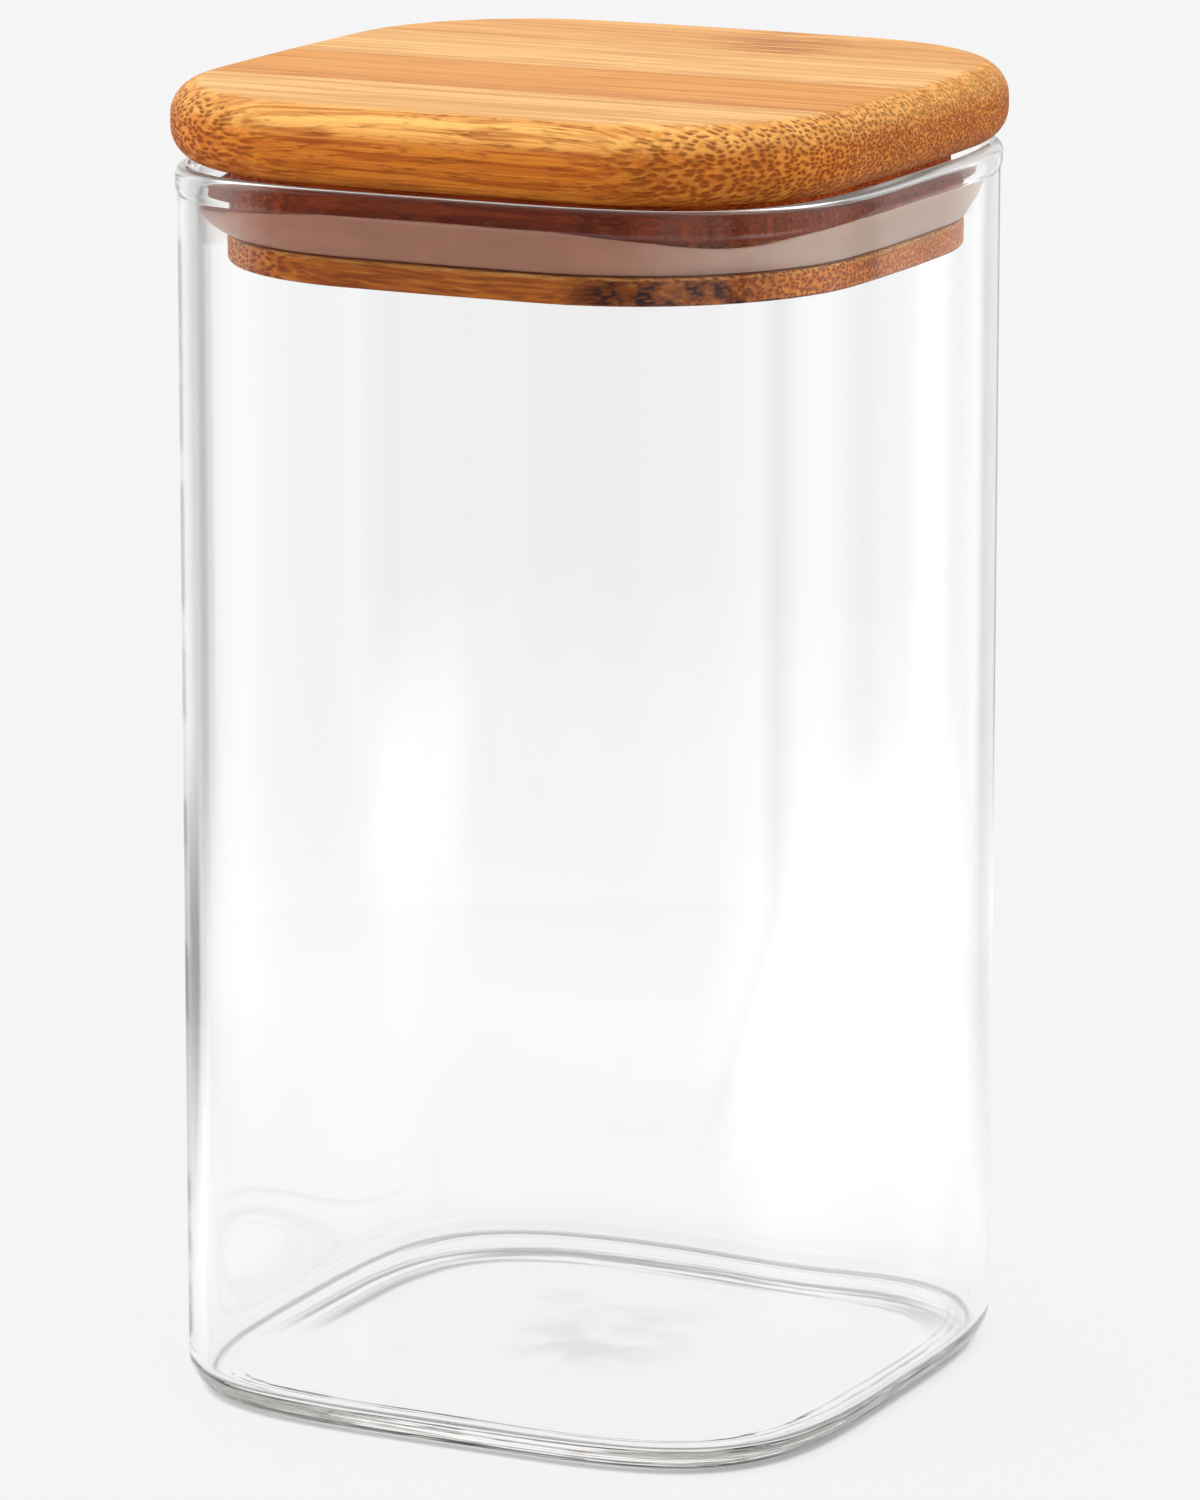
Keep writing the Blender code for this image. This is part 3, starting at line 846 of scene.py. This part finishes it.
def silicone_material(finishes):
    """Milky translucent silicone with a satin skin. Towards the sides at +X and -X it is painted paler, as
    painted light for the light that comes through it from beside.
    """
    plain = {"IOR": SILICONE_IOR, "Transmission Weight": 0.50}
    material, tree, shader = new_material("milky_silicone", plain)
    place = coordinate(tree, "Object")
    x = axes(place)[0]
    # Painted light: paler towards +X, and half as much towards -X.
    painted_side_light = ramp(x, 0.020, 0.046).math("MAXIMUM", ramp(x, -0.030, -0.047, 0.0, 0.5))
    milk = mix_colour(painted_side_light, rgba(finishes.silicone), rgba(finishes.painted_lit_silicone))
    cloud = noise(place, (180.0, 180.0, 260.0), 2.0)
    feed(shader["Base Color"], mix_colour(ramp(cloud, 0.65, 0.35), milk, (0.93, 0.93, 0.93, 1), "MULTIPLY"))
    feed(shader["Roughness"], ramp(cloud, 0.3, 0.7, 0.30, 0.42))
    bump(shader, noise(place, (1500.0, 1500.0, 1500.0), 2.0), 0.00003, 0.3)
    return material


def place_piece(piece, node, body, material):
    """Dresses a finished piece and lets it stand for its node in the frame."""
    piece.data.materials.clear()
    piece.data.materials.append(material)
    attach(piece, body)
    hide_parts(node)


def shared_tree(name, build):
    """A node group that is built the first time it is asked for."""
    return bpy.data.node_groups.get(name) or build()


class JAR_OT_vessel(bpy.types.Operator):
    """Make the glass vessel"""

    bl_idname = "jar.vessel"
    bl_label = "Glass Vessel"

    def execute(self, context):
        sizes = context.scene.jar_vessel
        material = glass_material(context.scene.jar_finishes)
        body = shared_tree("Squared body", vessel_group)
        tree = shared_tree("Moulded vessel", lambda: moulded_tree(body))
        names = ("half_width", "squareness", "corner_crowding", "side_steps")
        values = {titled(name): getattr(sizes, name) for name in names} | {"Material": material}
        piece = profile_piece("vessel_glass", vessel_profile(sizes), tree, values)
        place_piece(piece, "glass_jar", "jar", material)
        return {"FINISHED"}


def make_laths(context, kind, nodes, profile, half, corner, finish):
    """Laths of the board or the plug, each cut from the blank at the joints of the packed laths."""
    lid = context.scene.jar_lid
    body = shared_tree("Round square blank", blank_group)
    tree = shared_tree("Lath of a blank", lambda: lath_tree(body))
    for number, node in enumerate(nodes):
        low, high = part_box(node)
        low_y = low.y if number > 0 else low.y - CUT_OVERRUN
        high_y = high.y if number < len(nodes) - 1 else high.y + CUT_OVERRUN
        material, slot = finish(number)
        values = {
            "Half Width": half,
            "Corner Radius": corner,
            "Face Bow": lid.face_bow,
            "Corner Steps": lid.corner_steps,
            "Face Steps": lid.face_steps,
            "Lath Middle": (0, (low_y + high_y) / 2, (low.z + high.z) / 2),
            "Lath Size": (2 * (half + CUT_OVERRUN), high_y - low_y, high.z - low.z + 2 * CUT_OVERRUN),
            "Material": material,
        }
        piece = profile_piece(f"{kind}_{number + 1}", profile, tree, values)
        place_piece(piece, node, "lid", material)


class JAR_OT_board(bpy.types.Operator):
    """Make the board of the lid from its glued laths"""

    bl_idname = "jar.board"
    bl_label = "Lid Board"

    def execute(self, context):
        lid, finishes = context.scene.jar_lid, context.scene.jar_finishes
        light, dark = Vector(finishes.light_lath), Vector(finishes.dark_lath)
        middle = (BOARD_UNDERSIDE + BOARD_TOP) / 2

        def finish(number):
            """A light or a dark lath in turn. The last is between them, and has a knuckle."""
            last = number == len(BOARD_LATHS) - 1
            ground = (dark + light) / 2 if last else (light, dark)[number % 2]
            shift = (0.31 * number, 0.017 * number, 0.0013 * number - middle)
            marks = {"streaks": 0.75, "knuckle_place": 0.012, "knuckle": 0.9 if last else 0.0}
            material = bamboo_material(f"board_bamboo_{number + 1}", finishes, ground, shift, **marks)
            return material, ("bamboo_light", "bamboo_dark")[number % 2]

        profile = board_profile(lid)
        make_laths(context, "board_strip", BOARD_LATHS, profile, BOARD_HALF, lid.board_corner, finish)
        return {"FINISHED"}


class JAR_OT_plug(bpy.types.Operator):
    """Make the plug of the lid from its glued laths"""

    bl_idname = "jar.plug"
    bl_label = "Lid Plug"

    def execute(self, context):
        lid, finishes = context.scene.jar_lid, context.scene.jar_finishes
        # The spigot above the seal groove is darkened by a painted shade, for the shade under the board; the
        # corner staining is the wood's own.
        marks = {"streaks": 0.8, "painted_shade_height": BOARD_UNDERSIDE - lid.spigot_height, "corner_stain": 1.0}

        def finish(number):
            shift = (0.17 + 0.29 * number, 0.011 * number, 0.0007 * number - PLUG_UNDERSIDE)
            name = f"plug_bamboo_{number + 1}"
            return bamboo_material(name, finishes, finishes.dark_lath, shift, **marks), "bamboo_plug"

        profile = plug_profile(lid)
        make_laths(context, "plug_strip", PLUG_LATHS, profile, PLUG_HALF, lid.plug_corner, finish)
        return {"FINISHED"}


class JAR_OT_seal(bpy.types.Operator):
    """Make the silicone lip seal"""

    bl_idname = "jar.seal"
    bl_label = "Lip Seal"

    def execute(self, context):
        scene = context.scene
        piece = bpy.data.objects.new("lip_seal", seal_mesh(scene.jar_vessel, scene.jar_lid, scene.jar_seal))
        scene.collection.objects.link(piece)
        place_piece(piece, "seal_ring", "lid", silicone_material(scene.jar_finishes))
        return {"FINISHED"}


def stage_object(name, mesh, material):
    """Object of the stage, which isn't part of the jar."""
    item = bpy.data.objects.new(name, mesh)
    mesh.materials.append(material)
    bpy.context.scene.collection.objects.link(item)
    return item


def ray_kinds(tree):
    """Whether a ray is the camera's, a reflected one or a refracted one, as values of 0 or 1."""
    path = put(tree, "ShaderNodeLightPath").outputs
    return [Value(path[f"Is {kind} Ray"]) for kind in ("Camera", "Glossy", "Transmission")]


def squared_reach(x, y):
    """Distance from the axis, measured so that it is the same all round a round-cornered square."""
    return (abs(x) ** 4.0 + abs(y) ** 4.0) ** 0.25


def floor_material(studio):
    """Pale floor. It takes the object's shadow near the foot, and gives less light than it shows."""
    plain = {"Roughness": 1.0, "Specular IOR Level": 0.0, "Emission Color": (1, 1, 1, 1)}
    material, tree, shader = new_material("studio_floor", plain)
    camera, glossy, refracted = ray_kinds(tree)
    seen = camera.math("MAXIMUM", glossy).math("MAXIMUM", refracted)
    x, y, _ = axes(coordinate(tree, "Object"))
    reach = squared_reach(x, y)
    foot = choose(camera, FOOT_THROUGH_GLASS, FOOT)
    shaded = ramp(abs(reach - foot), 0.0016, 0.0004, 0.03, choose(camera, 0.88, 0.66))
    tail = ramp(reach, 0.0520, 0.0475) * ramp(x, 0.025, 0.048, 0.0, 0.16)
    shaded = tail * camera + shaded
    tone = studio.floor_tone
    # Seen through the glass, the floor is painted a little dimmer under and near the jar, with painted
    # caustic lines and a dull middle: painted light and shade.
    under_glass = ramp(reach, 0.050, 0.080, 0.90, 0.97) * painted_caustics(x, y)
    cloths = choose(ramp(reach, 0.060, 0.265), 1.0, edge_cloths(x, y))
    bare = choose(camera, choose(refracted, tone, under_glass) * cloths, tone)
    ground = read(tree, "ShaderNodeCombineColor", {0: shaded, 1: shaded, 2: shaded})
    feed(shader["Base Color"], mix_colour(seen, rgba([FLOOR_BOUNCE * tone] * 3), ground))
    feed(shader["Emission Strength"], (bare - shaded) * seen)
    return material


def painted_caustics(x, y):
    """Painted caustics: lines and a dull middle painted on the floor under the glass, for the light that the
    thick base throws there.
    """
    tree = x.tree
    reach = squared_reach(x - 0.0033, y + 0.0067)
    lines = noise(read(tree, "ShaderNodeCombineXYZ", {0: reach, 1: x}), (700.0, 30.0, 1.0), 3.0)
    band = ramp(reach, 0.0385, 0.0415) * ramp(reach, 0.0475, 0.0458)
    band = band * ramp(x * -0.44 + y * 0.90, 0.000, 0.018)
    middle = (x**2.0 + y**2.0).math("SQRT")
    cloud = noise(coordinate(tree, "Object"), (110.0, 110.0, 110.0), 2.0)
    dull = ramp(middle, 0.018, 0.003) * ramp(cloud, 0.35, 0.60) * 0.22
    return 1.0 - (ramp(lines, 0.40, 0.58) * band * 0.80 + dull)


def turned_tones(x, y, stops):
    """Tones set out round the axis, as (share of a turn, tone)."""
    turn = y.math("ARCTAN2", x) / (2 * math.pi) + 0.5
    node = put(x.tree, "ShaderNodeValToRGB", {0: turn})
    elements = node.color_ramp.elements
    while len(elements) < len(stops):
        elements.new(1.0)
    for element, (position, tone) in zip(elements, stops):
        element.position = position
        element.color = (tone, tone, tone, 1.0)
    return read(x.tree, "ShaderNodeSeparateColor", {0: Value(node.outputs[0])})


# What shows straight through the glass, round the axis: white cloths behind the jar, with a grey edge
# beside the backdrop, and on the camera's side two lamps that light the lid's plug and seal.
STRAIGHT_TONES = [
    (0.0, 1.0), (0.010, 1.7), (0.110, 1.7), (0.150, 0.95), (0.400, 0.95), (0.480, 2.4), (0.640, 2.4),
    (0.680, 1.0), (0.700, 0.86), (0.716, 0.86), (0.745, 1.0), (0.780, 1.10), (0.7835, 1.35),
    (0.7860, 1.35), (0.7885, 1.12), (0.7925, 1.14), (0.7945, 0.86), (0.797, 0.92), (0.7985, 1.06),
    (0.8045, 1.03), (0.8075, 0.98), (0.845, 0.98), (0.858, 1.02), (0.870, 1.0), (0.880, 0.93),
    (0.892, 0.78), (0.902, 0.60), (0.920, 0.30), (0.965, 0.28), (0.980, 0.60), (1.0, 1.0),
]  # fmt: skip
# What the glass reflects, round the axis: soft lamps of 1.0 and more, and dimmer cloths between them.
MIRRORED_TONES = [
    (0.0, 0.60), (0.015, 0.45), (0.030, 0.60), (0.055, 1.2), (0.100, 1.2), (0.135, 0.15), (0.270, 0.15),
    (0.310, 0.45), (0.400, 0.45), (0.425, 0.15), (0.470, 0.40), (0.600, 0.50), (0.632, 0.22),
    (0.642, 0.22), (0.648, 0.50), (0.662, 0.50), (0.684, 1.05), (0.700, 0.75), (0.716, 0.75),
    (0.742, 1.0), (0.752, 0.40), (0.765, 0.40), (0.775, 1.0), (0.874, 1.0), (0.884, 0.95),
    (0.905, 1.05), (0.925, 0.95), (0.945, 0.82), (0.965, 0.70), (0.985, 0.68), (1.0, 0.60),
]  # fmt: skip


def edge_cloths(x, y):
    """Tone of what shows straight through the glass."""
    return turned_tones(x, y, STRAIGHT_TONES)


def tent_material():
    """Ring of cloths and soft lamps. Straight through the glass it shows other tones than in reflections."""
    material = bpy.data.materials.new("studio_tent")
    material.use_nodes = True
    tree = material.node_tree
    tree.nodes.clear()
    x, y, z = axes(coordinate(tree, "Object"))
    bounces = read(tree, "ShaderNodeLightPath", output="Glossy Depth")
    reflected = bounces.math("GREATER_THAN", 0.5) * ramp(z, 0.0, 0.045)
    tone = choose(reflected, edge_cloths(x, y), turned_tones(x, y, MIRRORED_TONES))
    light = read(tree, "ShaderNodeEmission", {"Color": (1, 1, 1, 1), "Strength": tone})
    put(tree, "ShaderNodeOutputMaterial", {"Surface": light}).is_active_output = True
    return material


def tent_mesh(radius, height):
    """Open upright ring that faces inwards."""
    turns = [2 * math.pi * side / TENT_SIDES for side in range(TENT_SIDES)]
    points = [(radius * math.cos(turn), radius * math.sin(turn), z) for z in (0.0, height) for turn in turns]
    faces = []
    for side in range(TENT_SIDES):
        following = (side + 1) % TENT_SIDES
        faces.append((side, side + TENT_SIDES, following + TENT_SIDES, following))
    mesh = bpy.data.meshes.new("studio_tent")
    mesh.from_pydata(points, [], faces)
    return mesh


def light_world(studio):
    """Light from all round, stronger from above and from beside. The camera sees the floor's tone, and
    glass sees white."""
    world = bpy.data.worlds.new("studio")
    world.use_nodes = True
    tree = world.node_tree
    background = tree.nodes["Background"].inputs
    background["Color"].default_value = (1, 1, 1, 1)
    camera, glossy, refracted = ray_kinds(tree)
    sky = coordinate(tree, "Generated")
    above = axes(sky)[2].math("MAXIMUM", 0.0) * 1.15 + 0.36
    beside = read(tree, "ShaderNodeVectorMath", {0: sky, 1: SIDE_LIGHT}, "Value", operation="DOT_PRODUCT")
    level = beside.math("MAXIMUM", beside * -3.2) * 0.20 + above
    level = choose(glossy.math("MAXIMUM", refracted), level * studio.light, 1.0)
    feed(background["Strength"], choose(camera, level, studio.floor_tone))
    bpy.context.scene.world = world


def place_camera(studio):
    """Camera of the photograph."""
    data = bpy.data.cameras.new("studio_camera")
    data.lens = studio.focal_length
    data.sensor_width = 36
    data.shift_x, data.shift_y = LENS_SHIFT
    data.clip_end = 20
    camera = bpy.data.objects.new("studio_camera", data)
    turn, away = studio.camera_turn, studio.camera_distance
    camera.location = (math.sin(turn) * away, -math.cos(turn) * away, studio.camera_height)
    camera.rotation_euler = (math.pi / 2 - studio.camera_dip, 0, turn)
    bpy.context.scene.collection.objects.link(camera)
    bpy.context.scene.camera = camera


class JAR_OT_studio(bpy.types.Operator):
    """Make the floor, the light and the camera"""

    bl_idname = "jar.studio"
    bl_label = "Studio"

    def execute(self, context):
        studio = context.scene.jar_studio
        signs = ((-1, -1), (1, -1), (1, 1), (-1, 1))
        corners = [(FLOOR_REACH * x, FLOOR_REACH * y, FLOOR_HEIGHT) for x, y in signs]
        mesh = bpy.data.meshes.new("studio_floor")
        mesh.from_pydata(corners, [], [(0, 1, 2, 3)])
        stage_object("studio_floor", mesh, floor_material(studio))
        tent = stage_object("studio_tent", tent_mesh(studio.tent_radius, studio.tent_height), tent_material())
        tent.visible_camera = False
        tent.visible_diffuse = False
        tent.visible_shadow = False
        light_world(studio)
        place_camera(studio)
        context.scene.view_settings.view_transform = "Standard"
        return {"FINISHED"}


class JAR_PT_panel(bpy.types.Panel):
    """Sizes, finishes and pieces of the storage jar"""

    bl_label = "Storage Jar"
    bl_idname = "JAR_PT_panel"
    bl_space_type = "VIEW_3D"
    bl_region_type = "UI"
    bl_category = "Storage Jar"

    def draw(self, context):
        for operator in OPERATORS:
            self.layout.operator(operator.bl_idname)
        for name, group in GROUPS.items():
            box = self.layout.box()
            box.label(text=group.__doc__)
            for field in group.__annotations__:
                box.prop(getattr(context.scene, name), field, text=titled(field))


OPERATORS = (JAR_OT_vessel, JAR_OT_board, JAR_OT_plug, JAR_OT_seal, JAR_OT_studio)


def register():
    """Adds the property groups, operators and panel."""
    for item in (*GROUPS.values(), *OPERATORS, JAR_PT_panel):
        bpy.utils.register_class(item)
    for name, group in GROUPS.items():
        setattr(bpy.types.Scene, name, PointerProperty(type=group))


def unregister():
    """Takes them away again."""
    for name in GROUPS:
        delattr(bpy.types.Scene, name)
    for item in (JAR_PT_panel, *OPERATORS[::-1], *list(GROUPS.values())[::-1]):
        bpy.utils.unregister_class(item)


def main():
    """Makes the whole jar and its studio."""
    register()
    bpy.ops.jar.vessel()
    bpy.ops.jar.board()
    bpy.ops.jar.plug()
    bpy.ops.jar.seal()
    bpy.ops.jar.studio()


if __name__ == "__main__":
    main()
